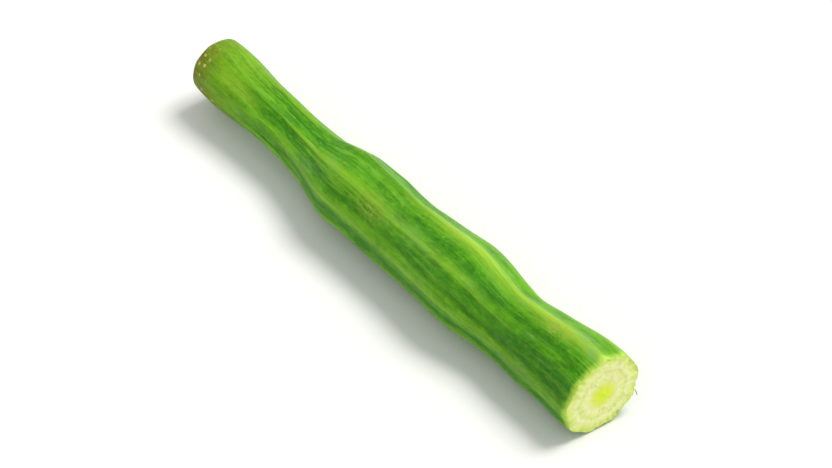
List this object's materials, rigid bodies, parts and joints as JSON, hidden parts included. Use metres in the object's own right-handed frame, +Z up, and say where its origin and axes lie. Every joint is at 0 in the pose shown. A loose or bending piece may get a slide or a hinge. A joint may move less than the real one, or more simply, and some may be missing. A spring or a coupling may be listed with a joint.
{
  "type": "drumstick pod",
  "caption": "Cut length of a fresh drumstick pod: a long, ribbed, slightly bent and waisted green pod, blunt and narrow at the stem end, and cut flat across at the thick end.",
  "frame": {"origin": "bottom centre of the bounding box, on the surface the pod lies on", "axes": "+X along the pod from the stem end to the cut end, +Z up"},
  "size_m": [0.146, 0.0218, 0.0206],
  "materials": {
    "pod": "fresh green plant skin, satin"
  },
  "bodies": {
    "root": {"drumstick_pod": "pod"}
  },
  "joints": []
}
